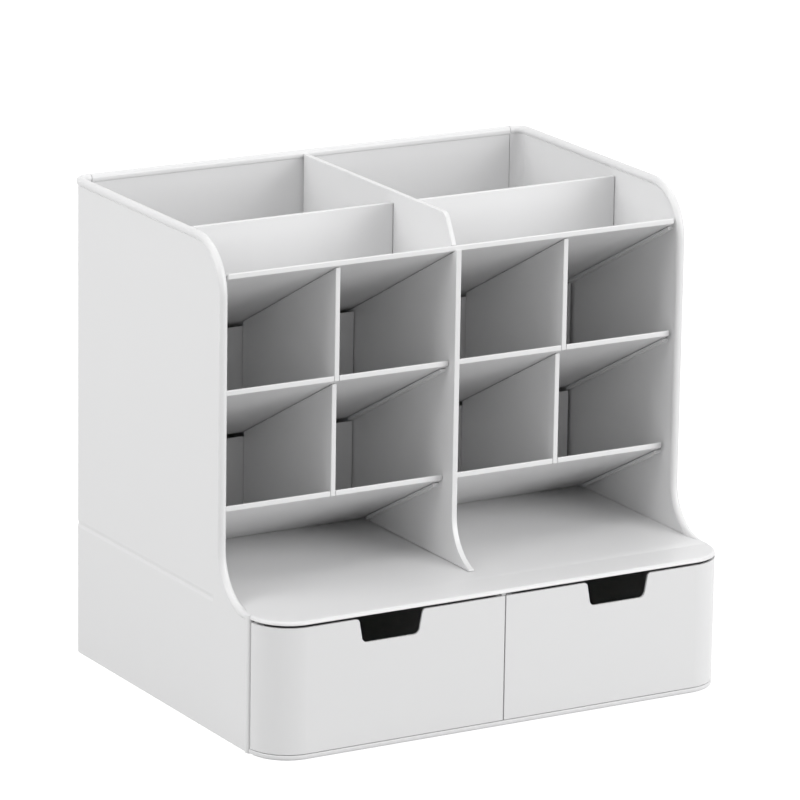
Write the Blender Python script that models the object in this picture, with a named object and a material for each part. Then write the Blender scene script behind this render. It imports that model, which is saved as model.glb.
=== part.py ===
"""Desktop drawer organizer: two drawers under an open deck, with three slanted tray tiers above it.

Lengths are in metres. The origin is the centre of the footprint on the table. X runs across, with the
drawers' left at -X, Y runs from the drawer fronts (-Y) to the back panel (+Y) and Z runs up.
A depth is measured backwards from the drawer fronts.
"""
import math

import bmesh
import bpy

# Overall sizes
body_width = 0.2550
body_depth = 0.2018
body_height = 0.2408

# Walls and rim
panel_thickness = 0.0026
rim_diameter = 0.0042
base_thickness = 0.0026
wall_thickness = 0.0029
divider_thickness = 0.0026
tray_thickness = 0.0026
deck_thickness = 0.0015
fit_gap = 0.0003
slide_gap = 0.0008

# Side panel outline
seam_depth = 0.0202
front_corner_radius = 0.0202
front_edge_depth = 0.0489
flare_radius = 0.0240
top_corner_radius = 0.0270
bottom_corner_radius = 0.0080
back_corner_radius = 0.0073
back_seam_inset = 0.0087
side_line_height = 0.0664
side_line_width = 0.0005
side_line_cut = 0.0003
side_line_start_depth = 0.0560

# Support rails moulded on the panels and the centre wall
rail_height = 0.0018
rail_reach = 0.0032
rail_setback = 0.0032
rail_root = 0.0010

# Deck and drawers
deck_top = 0.0682
drawer_bottom = 0.0030
drawer_front_top = 0.0649
drawer_side_top = 0.0600
drawer_front_thickness = 0.0015
drawer_wall = 0.0020
drawer_split = 0.0007
drawer_side_slot = 0.0014
drawer_rear_gap = 0.0020
bay_partition_thickness = 0.0024
bay_partition_front_gap = 0.0006

# Finger notches in the drawer fronts
notch_offset = 0.0628
notch_bottom_width = 0.0305
notch_top_width = 0.0347
notch_depth = 0.0118
notch_bottom_radius = 0.0030
notch_lip_radius = 0.0018

# Tray tiers: three parallel slanted floors
tray_angle = math.radians(27.5)
first_tray_rise = 0.0393
top_tray_drop = 0.0159
marker_tray_depth = 0.0580
pencil_tray_depth = 0.0540
top_tray_depth = 0.0520
tray_end_gap = 0.0008
tray_edge_radius = 0.0006
stop_depth = 0.1450
marker_divider_offset = 0.0620
pencil_divider_offset = 0.0630

# Top dividers
top_divider_drop = 0.0018
top_divider_setback = 0.0015
top_divider_corner_radius = 0.0050
top_partition_depth = 0.1090
top_partition_thickness = 0.0020
top_partition_rise = 0.0383

# Meshing
cut_overrun = 0.0020
arc_steps = 12
rim_sides_resolution = 4
weld_distance = 0.00001

# Values worked out from the sizes above
rim_radius = rim_diameter / 2
rim_proud = (rim_diameter - panel_thickness) / 2
front = -(body_depth + rim_proud) / 2
half_width = body_width / 2
panel_middle = half_width - panel_thickness / 2
panel_inner = half_width - panel_thickness
rim_inner = panel_middle - rim_radius
rim_height = body_height - rim_radius
back_inner = body_depth - panel_thickness
back_rim_inner = body_depth - panel_thickness / 2 - rim_radius
foot_end = body_depth - bottom_corner_radius - panel_thickness
back_turn_depth = body_depth - back_corner_radius
back_turn_x = half_width - back_corner_radius
back_seam_x = half_width - back_seam_inset
inner_corner_radius = back_corner_radius - panel_thickness
flare_depth = front_edge_depth - flare_radius
flare_height = deck_top + flare_radius
deck_bottom = deck_top - deck_thickness
tray_slope = math.tan(tray_angle)
tray_rise = tray_thickness / math.cos(tray_angle)
half_wall = wall_thickness / 2
first_tray_height = deck_top + first_tray_rise
top_tray_low = body_height - top_tray_drop - tray_rise
tier_names = ("marker", "pencil", "top")

plastic_colour = (0.80, 0.81, 0.82, 1.0)
plastic_roughness = 0.42


def clear_scene():
    """Removes every object that the scene holds."""
    for old in list(bpy.data.objects):
        bpy.data.objects.remove(old, do_unlink=True)


def make_collection(name):
    """Makes a collection in the scene."""
    made = bpy.data.collections.new(name)
    bpy.context.scene.collection.children.link(made)
    return made


def moulded_plastic(name):
    """Makes the white moulded plastic of one sub-part."""
    made = bpy.data.materials.new(name + "_plastic")
    made.use_nodes = True
    shader = made.node_tree.nodes["Principled BSDF"]
    shader.inputs["Base Color"].default_value = plastic_colour
    shader.inputs["Roughness"].default_value = plastic_roughness
    shader.inputs["Metallic"].default_value = 0.0
    made.diffuse_color = plastic_colour
    return made


def rounded_outline(corners):
    """Gives an outline's points from corners (x, y, radius), with an arc at each radius."""
    points = []
    count = len(corners)
    for index, (x, y, radius) in enumerate(corners):
        if radius <= 0:
            points.append((x, y))
            continue
        before = corners[index - 1]
        after = corners[(index + 1) % count]
        into = (x - before[0], y - before[1])
        out = (after[0] - x, after[1] - y)
        into_length = math.hypot(*into)
        out_length = math.hypot(*out)
        into = (into[0] / into_length, into[1] / into_length)
        out = (out[0] / out_length, out[1] / out_length)
        cross = into[0] * out[1] - into[1] * out[0]
        turn = math.atan2(cross, into[0] * out[0] + into[1] * out[1])
        reach = radius * math.tan(abs(turn) / 2)
        side = math.copysign(1, turn)
        start = (x - into[0] * reach, y - into[1] * reach)
        centre = (start[0] - side * into[1] * radius, start[1] + side * into[0] * radius)
        first = math.atan2(start[1] - centre[1], start[0] - centre[0])
        steps = max(2, round(arc_steps * abs(turn) / (math.pi / 2)))
        for step in range(steps + 1):
            angle = first + turn * step / steps
            points.append((centre[0] + radius * math.cos(angle), centre[1] + radius * math.sin(angle)))
    return points


def mesh_from_curve(curve_object, name):
    """Turns a curve object into a closed mesh object at the same place."""
    bpy.context.view_layer.update()
    evaluated = curve_object.evaluated_get(bpy.context.evaluated_depsgraph_get())
    mesh = bpy.data.meshes.new_from_object(evaluated)
    work = bmesh.new()
    work.from_mesh(mesh)
    bmesh.ops.remove_doubles(work, verts=work.verts, dist=weld_distance)
    bmesh.ops.recalc_face_normals(work, faces=work.faces)
    work.to_mesh(mesh)
    work.free()
    made = bpy.data.objects.new(name, mesh)
    made.matrix_world = curve_object.matrix_world.copy()
    collection = curve_object.users_collection[0]
    collection.objects.link(made)
    bpy.data.objects.remove(curve_object, do_unlink=True)
    return made


def flat_shape(name, points, thickness, collection, location, rotation):
    """Makes a flat outline into a plate, centred on its own plane."""
    curve = bpy.data.curves.new(name, "CURVE")
    curve.dimensions = "2D"
    curve.fill_mode = "BOTH"
    curve.extrude = thickness / 2
    spline = curve.splines.new("POLY")
    spline.points.add(len(points) - 1)
    for point, (x, y) in zip(spline.points, points):
        point.co = (x, y, 0, 1)
    spline.use_cyclic_u = True
    holder = bpy.data.objects.new(name + "_outline", curve)
    collection.objects.link(holder)
    holder.location = location
    holder.rotation_euler = rotation
    return mesh_from_curve(holder, name)


def upright_plate(name, profile, middle, thickness, collection):
    """Extrudes a (depth, height) profile across, centred on X = middle."""
    rotation = (math.radians(90), 0, math.radians(90))
    return flat_shape(name, profile, thickness, collection, (middle, front, 0), rotation)


def level_plate(name, plan, low, high, collection, place=(0, 0)):
    """Extrudes an (x, depth) plan upwards, from low to high."""
    location = (place[0], front + place[1], (low + high) / 2)
    return flat_shape(name, plan, high - low, collection, location, (0, 0, 0))


def facing_plate(name, shape, near, far, collection, middle=0):
    """Extrudes an (x, height) shape backwards, from depth near to depth far."""
    location = (middle, front + (near + far) / 2, 0)
    return flat_shape(name, shape, far - near, collection, location, (math.radians(90), 0, 0))


def block(name, low, high, collection):
    """Makes a box between two corners, given as (x, depth, height)."""
    mesh = bpy.data.meshes.new(name)
    work = bmesh.new()
    bmesh.ops.create_cube(work, size=1)
    size = [top - bottom for bottom, top in zip(low, high)]
    bmesh.ops.scale(work, verts=work.verts, vec=size)
    work.to_mesh(mesh)
    work.free()
    made = bpy.data.objects.new(name, mesh)
    collection.objects.link(made)
    made.location = ((low[0] + high[0]) / 2, front + (low[1] + high[1]) / 2, (low[2] + high[2]) / 2)
    return made


def rim_tube(name, path, collection):
    """Makes the round rim along a path of (x, depth, height) points."""
    curve = bpy.data.curves.new(name, "CURVE")
    curve.dimensions = "3D"
    curve.bevel_depth = rim_radius
    curve.bevel_resolution = rim_sides_resolution
    curve.use_fill_caps = True
    spline = curve.splines.new("POLY")
    spline.points.add(len(path) - 1)
    for point, (x, depth, height) in zip(spline.points, path):
        point.co = (x, front + depth, height, 1)
    holder = bpy.data.objects.new(name + "_path", curve)
    collection.objects.link(holder)
    return mesh_from_curve(holder, name)


def apply_boolean(body, other, operation):
    """Joins or cuts a body with another shape."""
    other.hide_render = True
    other.display_type = "WIRE"
    modifier = body.modifiers.new(other.name, "BOOLEAN")
    modifier.operation = operation
    modifier.solver = "EXACT"
    modifier.object = other


def finish_part(part, name):
    """Gives a part its material and its shading."""
    part.data.materials.clear()
    part.data.materials.append(moulded_plastic(name))
    part.data.shade_smooth()
    part.data.set_sharp_from_angle(angle=math.radians(30))


def underside(tier, depth):
    """Height of a tier's slanted underside at a depth. The tiers are evenly spaced."""
    top_height = top_tray_low - tray_slope * (marker_tray_depth - top_tray_depth)
    climb_share = tier_names.index(tier) / (len(tier_names) - 1)
    start = first_tray_height + climb_share * (top_height - first_tray_height)
    return start - tray_slope * (depth - marker_tray_depth)


def tier_above(tier):
    """Name of the next tier up."""
    return tier_names[tier_names.index(tier) + 1]


def floor_top(tier, depth):
    """Height of a tier's slanted floor at a depth."""
    return underside(tier, depth) + tray_rise


def stop_top(tier, depth):
    """Height of a tray's rear stop at a depth, clear of the rails of the tier above."""
    return underside(tier_above(tier), depth) - rail_height - 2 * fit_gap


def depth_at(height):
    """Depth where the first tier's underside comes down to a height."""
    return marker_tray_depth + (first_tray_height - height) / tray_slope


def arc_points(centre, radius, first, last, steps):
    """Points of an arc in a (depth, height) plane, ends included."""
    points = []
    for step in range(steps + 1):
        angle = math.radians(first + (last - first) * step / steps)
        points.append((centre[0] + radius * math.cos(angle), centre[1] + radius * math.sin(angle)))
    return points


def rim_line():
    """The rim's centre line on a side panel, from the deck up, round the corner and level."""
    flare = arc_points((flare_depth, flare_height), flare_radius + rim_radius, -90, 0, arc_steps)
    corner_centre = (front_edge_depth + top_corner_radius, body_height - top_corner_radius)
    corner = arc_points(corner_centre, top_corner_radius - rim_radius, 180, 90, arc_steps)
    return [(seam_depth, deck_top - rim_radius)] + flare + corner


def tray_rail_profile(tier, start_depth, end_depth):
    """Side view of a slanted rail that carries one end of a tray."""
    top_start = underside(tier, start_depth) - fit_gap
    top_end = underside(tier, end_depth) - fit_gap
    return [
        (start_depth, top_start),
        (start_depth, top_start - rail_height),
        (end_depth, top_end - rail_height),
        (end_depth, top_end),
    ]


def tray_rail_spans():
    """Tier, start and end depth of each rail."""
    tray_fronts = (marker_tray_depth, pencil_tray_depth, top_tray_depth)
    foot_depth = depth_at(deck_top + fit_gap)
    marker_end = foot_depth - rail_reach - rail_height / tray_slope
    ends = (marker_end, stop_depth, back_turn_depth)
    starts = [depth + rail_setback for depth in tray_fronts]
    return list(zip(tier_names, starts, ends))


def side_panel_plan(side):
    """Plan of a side panel's wall, which turns round the back corner to the back panel's seam."""
    start = seam_depth - cut_overrun
    corners = [
        (side * half_width, start, 0),
        (side * half_width, body_depth, back_corner_radius),
        (side * back_seam_x, body_depth, 0),
        (side * back_seam_x, back_inner, 0),
        (side * panel_inner, back_inner, inner_corner_radius),
        (side * panel_inner, start, 0),
    ]
    return rounded_outline(corners)


def corner_block_plan(side):
    """Plan of the block that closes the bottom of the back corner between the foot and the wall."""
    middle_depth = body_depth - panel_thickness / 2
    corners = [
        (side * panel_middle, foot_end, 0),
        (side * panel_middle, middle_depth, back_corner_radius - panel_thickness / 2),
        (side * back_seam_x, middle_depth, 0),
        (side * back_seam_x, foot_end, 0),
    ]
    return rounded_outline(corners)


def side_view(line):
    """Side view that trims a side panel's wall, with the rounded bottom edge at the back."""
    far = body_depth + cut_overrun
    foot_centre = (body_depth - bottom_corner_radius, bottom_corner_radius)
    foot = arc_points(foot_centre, bottom_corner_radius, 0, -90, arc_steps)
    return [(seam_depth, 0)] + line + [(far, rim_height), (far, bottom_corner_radius)] + foot


def back_corner_path(side):
    """The rim's centre line round the back corner, as (x, depth, height) points."""
    middle_radius = back_corner_radius - panel_thickness / 2
    turn = arc_points((back_turn_x, back_turn_depth), middle_radius, 0, 90, arc_steps)
    path = [(side * x, depth, rim_height) for x, depth in turn]
    path.append((side * back_seam_x, body_depth - panel_thickness / 2, rim_height))
    return path


def build_side_panel(side, name, parts, guides):
    """Builds one side panel with its rim, its tray rails and the deck's ledge."""
    line = rim_line()
    panel = level_plate(name, side_panel_plan(side), -cut_overrun, body_height, parts)
    corner = level_plate(
        name + "_corner", corner_block_plan(side), -cut_overrun / 2, bottom_corner_radius, guides
    )
    apply_boolean(panel, corner, "UNION")
    reach = 2 * back_seam_inset
    outline = upright_plate(
        name + "_outline", side_view(line), side * half_width, 2 * reach, guides
    )
    apply_boolean(panel, outline, "INTERSECT")
    path = [(side * panel_middle, depth, height) for depth, height in line] + back_corner_path(side)
    apply_boolean(panel, rim_tube(name + "_rim", path, guides), "UNION")
    rail_width = rail_reach + rail_root
    rail_middle = side * (panel_inner + rail_root - rail_width / 2)
    for tier, start_depth, end_depth in tray_rail_spans():
        rail_name = f"{name}_rail_{tier}"
        rail = tray_rail_profile(tier, start_depth, end_depth)
        apply_boolean(panel, upright_plate(rail_name, rail, rail_middle, rail_width, guides), "UNION")
    ledge_top = deck_bottom - fit_gap
    ledge = block(
        name + "_deck_ledge",
        (rail_middle - rail_width / 2, seam_depth + rail_setback, ledge_top - rail_height),
        (rail_middle + rail_width / 2, back_turn_depth, ledge_top),
        guides,
    )
    apply_boolean(panel, ledge, "UNION")
    outer = side * half_width
    groove = block(
        name + "_side_line",
        (outer - side_line_cut, side_line_start_depth, side_line_height - side_line_width / 2),
        (outer + side_line_cut, body_depth + cut_overrun, side_line_height + side_line_width / 2),
        guides,
    )
    apply_boolean(panel, groove, "DIFFERENCE")
    finish_part(panel, name)


def build_back_panel(parts, guides):
    """Builds the back panel, with its rim and the turned-in foot that meets the base."""
    name = "back_panel"
    corners = [
        (body_depth, rim_height, 0),
        (back_inner, rim_height, 0),
        (back_inner, panel_thickness, bottom_corner_radius - panel_thickness),
        (foot_end, panel_thickness, 0),
        (foot_end, 0, 0),
        (body_depth, 0, bottom_corner_radius),
    ]
    half_span = back_seam_x - fit_gap
    panel = upright_plate(name, rounded_outline(corners), 0, 2 * half_span, parts)
    rim_depth = body_depth - panel_thickness / 2
    path = [(-half_span, rim_depth, rim_height), (half_span, rim_depth, rim_height)]
    apply_boolean(panel, rim_tube(name + "_rim", path, guides), "UNION")
    finish_part(panel, name)


def footprint_plan(rear_half_width, rear_depth, rear_radius):
    """Plan of a board that is full width in front of the side panels and fits between them behind."""
    shoulder = seam_depth - fit_gap
    corners = [
        (-half_width, 0, front_corner_radius - fit_gap),
        (half_width, 0, front_corner_radius - fit_gap),
        (half_width, shoulder, 0),
        (rear_half_width, shoulder, 0),
        (rear_half_width, rear_depth, rear_radius),
        (-rear_half_width, rear_depth, rear_radius),
        (-rear_half_width, shoulder, 0),
        (-half_width, shoulder, 0),
    ]
    return rounded_outline(corners)


def build_base_plate(parts):
    """Builds the bottom board that the drawers slide on."""
    name = "base_plate"
    rear_depth = foot_end - fit_gap
    plan = footprint_plan(panel_inner - fit_gap, rear_depth, 0)
    finish_part(level_plate(name, plan, 0, base_thickness, parts), name)


def build_deck(parts):
    """Builds the open shelf over the drawers."""
    name = "deck"
    plan = footprint_plan(rim_inner - fit_gap, back_inner - fit_gap, inner_corner_radius - fit_gap)
    finish_part(level_plate(name, plan, deck_bottom, deck_top, parts), name)


def drawer_rear_depth():
    """Depth of a drawer's rear face when it is shut."""
    return foot_end - drawer_rear_gap


def build_bay_partition(parts):
    """Builds the upright partition between the two drawer bays."""
    name = "drawer_bay_partition"
    near = drawer_front_thickness + bay_partition_front_gap
    low = base_thickness + fit_gap
    high = deck_bottom - fit_gap
    profile = [(near, low), (drawer_rear_depth(), low), (drawer_rear_depth(), high), (near, high)]
    plate = upright_plate(name, profile, 0, bay_partition_thickness, parts)
    finish_part(plate, name)


def drawer_plan(side, middle):
    """Plan of a drawer about its own middle, with the front's rounded return at the outer end."""
    inner = side * (bay_partition_thickness / 2 + slide_gap)
    split = side * drawer_split / 2
    outer = side * half_width
    box_outer = side * (panel_inner - slide_gap)
    rear = drawer_rear_depth()
    return_end = seam_depth - drawer_side_slot
    last = math.degrees(math.asin((return_end - front_corner_radius) / front_corner_radius))
    centre = (half_width - front_corner_radius, front_corner_radius)
    corner = arc_points(centre, front_corner_radius, -90, last, arc_steps)
    points = [(split, 0)]
    points += [(side * x, depth) for x, depth in corner]
    points += [
        (box_outer, return_end),
        (box_outer, rear),
        (inner, rear),
        (inner, drawer_front_thickness),
        (split, drawer_front_thickness),
    ]
    points = [(x - middle, depth) for x, depth in points]
    return points, outer


def drawer_cavity_plan(side, middle):
    """Plan of a drawer's inside about the drawer's own middle."""
    inner = side * (bay_partition_thickness / 2 + slide_gap + drawer_wall)
    box_outer = side * (panel_inner - slide_gap - drawer_wall)
    rear = drawer_rear_depth() - drawer_wall
    shoulder = seam_depth - drawer_side_slot - drawer_wall
    radius = front_corner_radius - drawer_front_thickness
    last = math.degrees(math.asin((shoulder - front_corner_radius) / radius))
    centre = (half_width - front_corner_radius, front_corner_radius)
    corner = arc_points(centre, radius, -90, last, arc_steps)
    points = [(inner, drawer_front_thickness)]
    points += [(side * x, depth) for x, depth in corner]
    points += [(box_outer, shoulder), (box_outer, rear), (inner, rear)]
    return [(x - middle, depth) for x, depth in points]


def notch_shape():
    """Outline of a finger notch about its own middle, open at the top of the drawer front."""
    top = drawer_front_top
    bottom = drawer_front_top - notch_depth
    half_bottom = notch_bottom_width / 2
    half_top = notch_top_width / 2
    half_mouth = half_top + notch_lip_radius
    corners = [
        (-half_bottom, bottom, notch_bottom_radius),
        (half_bottom, bottom, notch_bottom_radius),
        (half_top, top, notch_lip_radius),
        (half_mouth + notch_lip_radius, top, 0),
        (half_mouth + notch_lip_radius, top + cut_overrun, 0),
        (-half_mouth - notch_lip_radius, top + cut_overrun, 0),
        (-half_mouth - notch_lip_radius, top, 0),
        (-half_top, top, notch_lip_radius),
    ]
    return rounded_outline(corners)


def build_drawer(side, name, parts, guides):
    """Builds one drawer: its front with the rounded return and the finger notch, and its open box."""
    middle = side * half_width / 2
    slide = bpy.data.objects.new(name + "_slide", None)
    slide.location = (middle, front, drawer_bottom)
    parts.objects.link(slide)
    plan, outer = drawer_plan(side, middle)
    drawer = level_plate(name, plan, drawer_bottom, drawer_front_top, parts, (middle, 0))
    cavity = drawer_cavity_plan(side, middle)
    floor = drawer_bottom + drawer_wall
    inside = level_plate(
        name + "_inside", cavity, floor, drawer_front_top + cut_overrun, guides, (middle, 0)
    )
    apply_boolean(drawer, inside, "DIFFERENCE")
    ends = sorted((0, outer + side * cut_overrun))
    trim = block(
        name + "_side_trim",
        (ends[0], seam_depth, drawer_side_top),
        (ends[1], drawer_rear_depth() + cut_overrun, drawer_front_top + cut_overrun),
        guides,
    )
    apply_boolean(drawer, trim, "DIFFERENCE")
    notch = facing_plate(
        name + "_notch", notch_shape(), -cut_overrun, drawer_front_thickness + cut_overrun, guides,
        side * notch_offset
    )
    apply_boolean(drawer, notch, "DIFFERENCE")
    bpy.context.view_layer.update()
    drawer.parent = slide
    drawer.matrix_parent_inverse = slide.matrix_world.inverted()
    finish_part(drawer, name)


def build_centre_wall(parts, guides):
    """Builds the wall in the middle, from the deck up to the top tray, with rails on both faces."""
    name = "centre_wall"
    foot_height = deck_top + fit_gap
    toe_height = foot_height + panel_thickness / 4
    drop = flare_height - toe_height
    toe_angle = -math.degrees(math.asin(drop / flare_radius))
    flare = arc_points((flare_depth, flare_height), flare_radius, toe_angle, 0, arc_steps)
    rear = back_inner - fit_gap
    profile = [(flare[0][0], foot_height)] + flare
    profile.append((front_edge_depth, underside("top", front_edge_depth) - fit_gap))
    profile.append((rear, underside("top", rear) - fit_gap))
    profile.append((rear, foot_height))
    wall = upright_plate(name, profile, 0, wall_thickness, parts)
    rail_width = wall_thickness + 2 * rail_reach
    for tier, start_depth, end_depth in tray_rail_spans():
        if tier == "top":
            continue
        rail_name = f"{name}_rail_{tier}"
        rail = tray_rail_profile(tier, start_depth, end_depth)
        apply_boolean(wall, upright_plate(rail_name, rail, 0, rail_width, guides), "UNION")
    finish_part(wall, name)


def front_edge(tier, depth):
    """Corners of a tray's upright front edge, from the floor down to the underside."""
    return [
        (depth, floor_top(tier, depth), tray_edge_radius),
        (depth, underside(tier, depth), tray_edge_radius),
    ]


def marker_tray_profile():
    """Side view of a lower tray: slanted floor, level foot on the deck and rear stop."""
    foot_low = deck_top + fit_gap
    foot_high = foot_low + tray_thickness
    stop_back = stop_depth + tray_thickness
    corners = front_edge("marker", marker_tray_depth)
    corners += [
        (depth_at(foot_low), foot_low, 0),
        (stop_back, foot_low, 0),
        (stop_back, stop_top("marker", stop_back), 0),
        (stop_depth, stop_top("marker", stop_depth), 0),
        (stop_depth, foot_high, 0),
        (depth_at(foot_high - tray_rise), foot_high, 0),
    ]
    return rounded_outline(corners)


def pencil_tray_profile():
    """Side view of a middle tray: slanted floor and rear stop."""
    stop_back = stop_depth + tray_thickness
    corners = front_edge("pencil", pencil_tray_depth)
    corners += [
        (stop_back, underside("pencil", stop_back), 0),
        (stop_back, stop_top("pencil", stop_back), 0),
        (stop_depth, stop_top("pencil", stop_depth), 0),
        (stop_depth, floor_top("pencil", stop_depth), 0),
    ]
    return rounded_outline(corners)


def build_half_tray(side, name, profile, parts):
    """Builds a tray between the centre wall and one side panel."""
    near = half_wall + fit_gap
    far = rim_inner - tray_end_gap
    tray = upright_plate(name, profile, side * (near + far) / 2, far - near, parts)
    finish_part(tray, name)


def build_cell_divider(name, tier, near, offset, parts):
    """Builds the upright divider that splits a tray in two and carries the tier above."""
    rear = stop_depth - fit_gap
    above = tier_above(tier)
    profile = [(near, floor_top(tier, near) + fit_gap)]
    if tier == "marker":
        foot_high = deck_top + fit_gap + tray_thickness
        profile.append((depth_at(foot_high - tray_rise), foot_high + fit_gap))
        profile.append((rear, foot_high + fit_gap))
    else:
        profile.append((rear, floor_top(tier, rear) + fit_gap))
    profile.append((rear, underside(above, rear) - fit_gap))
    profile.append((near, underside(above, near) - fit_gap))
    divider = upright_plate(name, profile, offset, divider_thickness, parts)
    finish_part(divider, name)


def build_top_tray(parts, guides):
    """Builds the top tray's floor, which spans both side panels and rests on the centre wall."""
    name = "top_tray"
    rear = back_inner - fit_gap
    far = rear + cut_overrun
    half_span = rim_inner - tray_end_gap
    start = top_tray_depth - cut_overrun
    radius = inner_corner_radius - fit_gap
    plan = [
        (-half_span, start, 0),
        (half_span, start, 0),
        (half_span, rear, radius),
        (-half_span, rear, radius),
    ]
    tray = level_plate(name, rounded_outline(plan), 0, body_height, parts)
    corners = front_edge("top", top_tray_depth)
    corners += [
        (far, underside("top", far), 0),
        (far, floor_top("top", far), 0),
    ]
    floor = upright_plate(
        name + "_floor", rounded_outline(corners), 0, 2 * (half_span + cut_overrun), guides
    )
    apply_boolean(tray, floor, "INTERSECT")
    finish_part(tray, name)


def build_top_divider(parts):
    """Builds the front-to-back divider of the top tray."""
    name = "top_centre_divider"
    start = top_tray_depth + top_divider_setback
    low = floor_top("top", start) + fit_gap
    high = body_height - top_divider_drop
    lean = (high - low) * tray_slope
    rear = back_rim_inner - fit_gap
    corners = [
        (start, low, 0),
        (rear, floor_top("top", rear) + fit_gap, 0),
        (rear, high, 0),
        (start + lean, high, top_divider_corner_radius),
    ]
    finish_part(upright_plate(name, rounded_outline(corners), 0, divider_thickness, parts), name)


def build_top_partition(side, name, parts):
    """Builds the crosswise partition of one top bay."""
    rear = top_partition_depth + top_partition_thickness
    high = floor_top("top", top_partition_depth) + top_partition_rise
    profile = [
        (top_partition_depth, floor_top("top", top_partition_depth) + fit_gap),
        (rear, floor_top("top", rear) + fit_gap),
        (rear, high),
        (top_partition_depth, high),
    ]
    near = divider_thickness / 2 + fit_gap
    far = panel_inner - fit_gap
    plate = upright_plate(name, profile, side * (near + far) / 2, far - near, parts)
    finish_part(plate, name)


def build_organizer():
    """Builds every part of the organizer."""
    clear_scene()
    parts = make_collection("desktop_drawer_organizer")
    guides = make_collection("cutting_guides")
    build_base_plate(parts)
    build_deck(parts)
    build_back_panel(parts, guides)
    build_bay_partition(parts)
    build_centre_wall(parts, guides)
    build_top_tray(parts, guides)
    build_top_divider(parts)
    for side, word in ((-1, "left"), (1, "right")):
        build_side_panel(side, word + "_side_panel", parts, guides)
        build_drawer(side, word + "_drawer", parts, guides)
        build_half_tray(side, word + "_marker_tray", marker_tray_profile(), parts)
        build_half_tray(side, word + "_pencil_tray", pencil_tray_profile(), parts)
        build_cell_divider(
            word + "_marker_divider", "marker", marker_tray_depth, side * marker_divider_offset, parts
        )
        build_cell_divider(
            word + "_pencil_divider", "pencil", pencil_tray_depth, side * pencil_divider_offset, parts
        )
        build_top_partition(side, word + "_top_partition", parts)


build_organizer()
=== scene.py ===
"""Looks of a white desktop organizer with two drawers, an open shelf and slanted trays above it.

Lengths are in metres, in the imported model's frame: X runs across, Y from the drawer fronts to the back
and Z up. A depth is measured backwards from the drawer fronts.
"""
from __future__ import annotations

import logging
import math
from dataclasses import dataclass
from enum import Enum
from typing import Any, Callable, Sequence, Union

import bmesh
import bpy
from mathutils import Matrix, Vector


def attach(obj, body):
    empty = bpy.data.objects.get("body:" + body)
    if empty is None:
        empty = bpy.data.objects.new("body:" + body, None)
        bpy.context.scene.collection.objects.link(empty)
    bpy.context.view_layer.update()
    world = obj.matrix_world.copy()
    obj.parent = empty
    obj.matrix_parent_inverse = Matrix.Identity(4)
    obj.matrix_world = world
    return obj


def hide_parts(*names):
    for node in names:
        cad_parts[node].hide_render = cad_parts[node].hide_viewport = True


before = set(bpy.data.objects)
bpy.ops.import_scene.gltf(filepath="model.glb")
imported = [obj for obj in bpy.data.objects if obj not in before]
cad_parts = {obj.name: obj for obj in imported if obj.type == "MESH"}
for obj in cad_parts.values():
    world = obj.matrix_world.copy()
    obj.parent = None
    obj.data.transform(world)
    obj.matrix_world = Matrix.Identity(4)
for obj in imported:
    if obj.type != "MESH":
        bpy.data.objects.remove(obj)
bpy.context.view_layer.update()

log = logging.getLogger("organizer")

MM = 0.001
NEAR = 0.02 * MM
WELD = NEAR / 4
CORNER_STEPS = 14
WHITE = (1.0, 1.0, 1.0)

Corner = tuple[float, float, float]
Spans = tuple[float, float, float, float]
Test = Callable[[Vector], bool]
Value = Union["Socket", float, int]
Key = Union[int, str]
Colour = tuple[float, float, float]


# Sizes


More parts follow.
